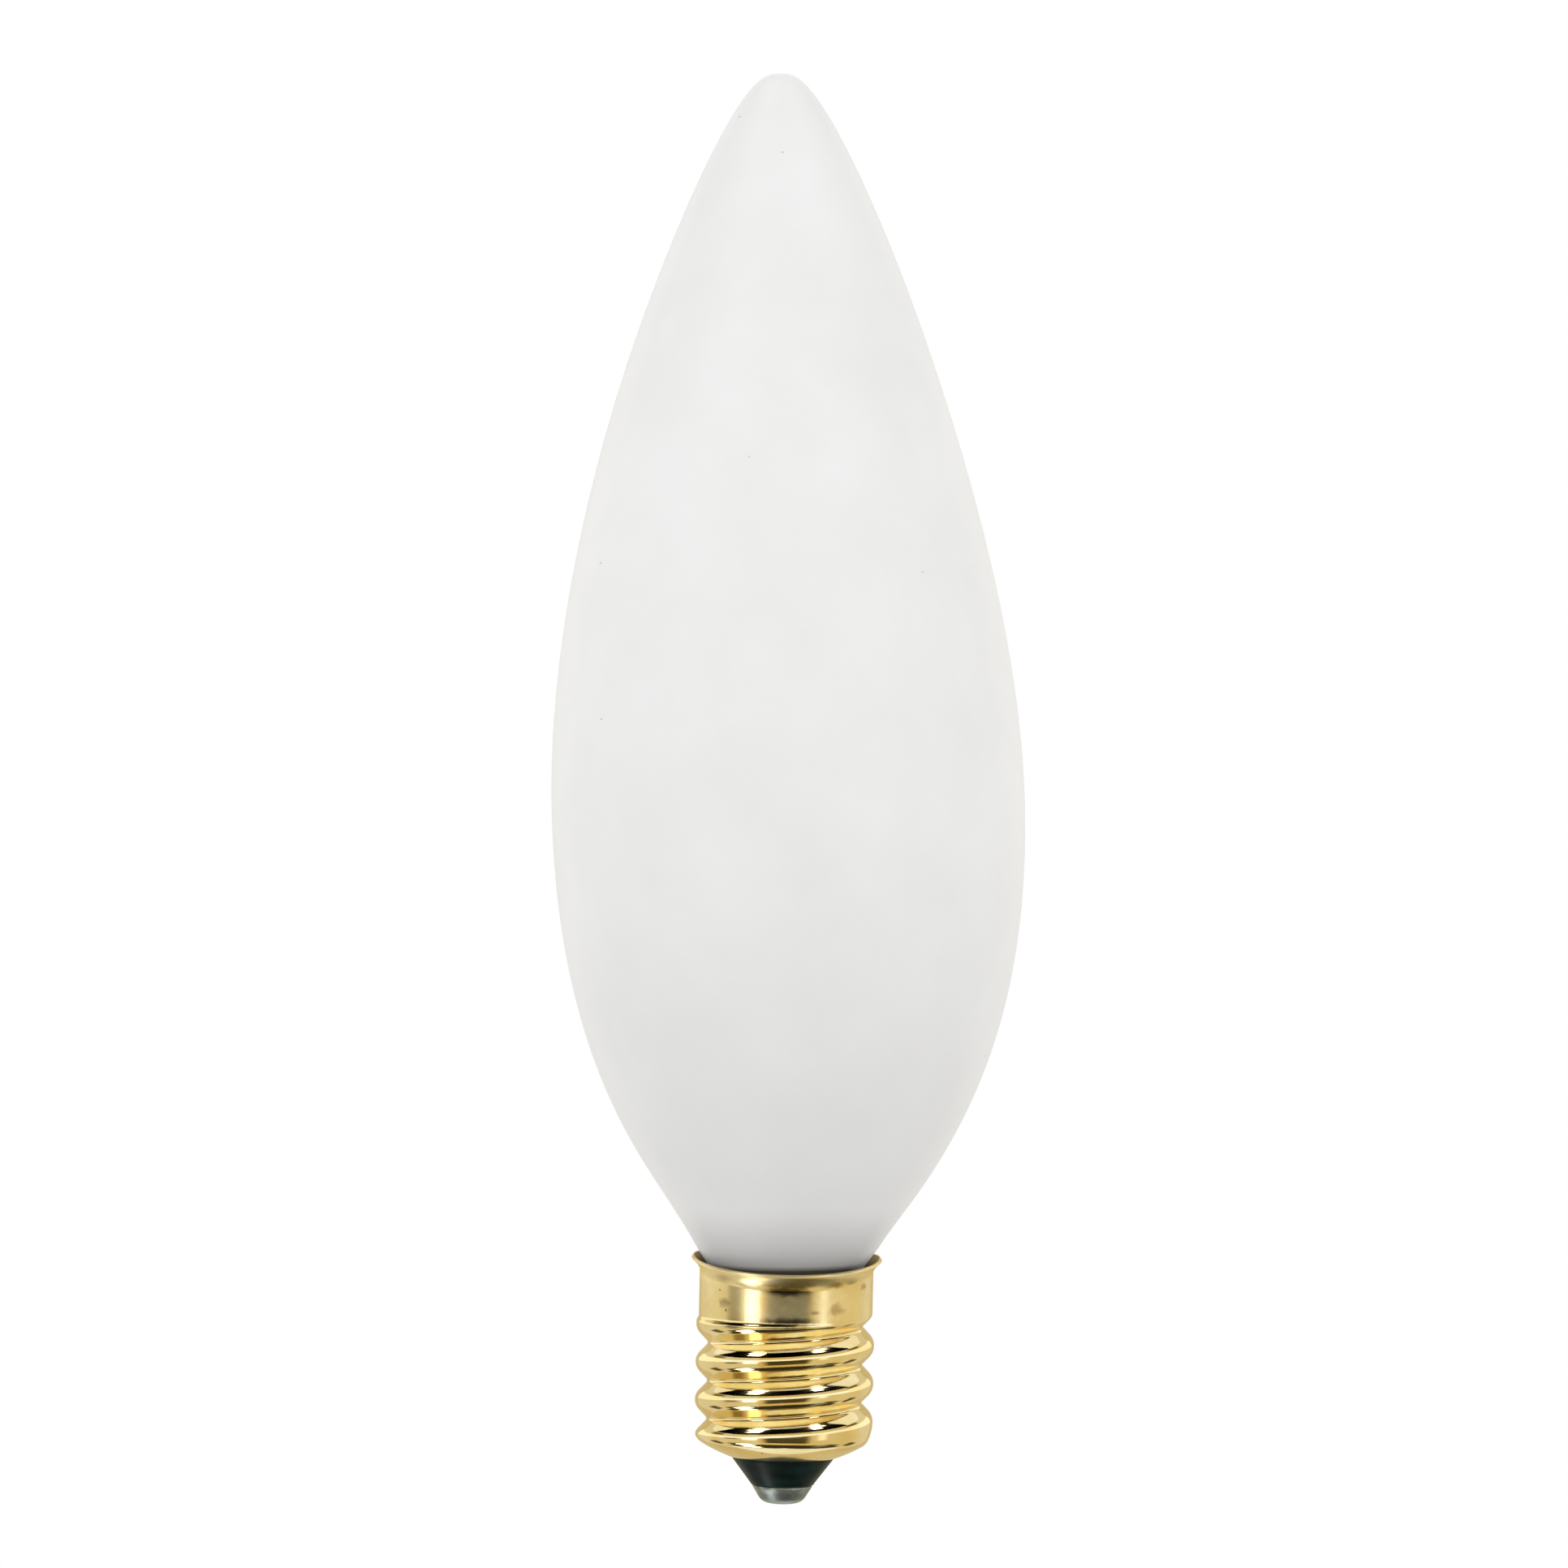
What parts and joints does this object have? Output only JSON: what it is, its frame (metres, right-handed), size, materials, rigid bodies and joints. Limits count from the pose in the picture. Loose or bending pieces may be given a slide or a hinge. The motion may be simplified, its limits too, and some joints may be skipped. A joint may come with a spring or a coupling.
{
  "type": "decorative incandescent bulb",
  "caption": "Torpedo-shaped white glass bulb on a small brass screw cap with a black glass insulator and a centre contact",
  "frame": {"origin": "the end of the centre contact, on the bulb's axis", "axes": "+Z runs along the axis from the centre contact to the glass tip; the side lead's solder is on the +Y side"},
  "size_m": [0.0316, 0.0316, 0.0953],
  "materials": {
    "white_glass": "satin",
    "brass_sheet": "polished",
    "black_glass": "gloss",
    "contact_metal": "satin",
    "cement": "matte",
    "lead_wire": "satin",
    "solder": "satin"
  },
  "bodies": {
    "root": {"glass_bulb": "white_glass", "screw_shell": "brass_sheet", "insulator": "black_glass", "centre_contact": "contact_metal", "basing_cement": "cement", "centre_lead_wire": "lead_wire", "side_lead_wire": "lead_wire", "side_solder": "solder"}
  },
  "joints": []
}
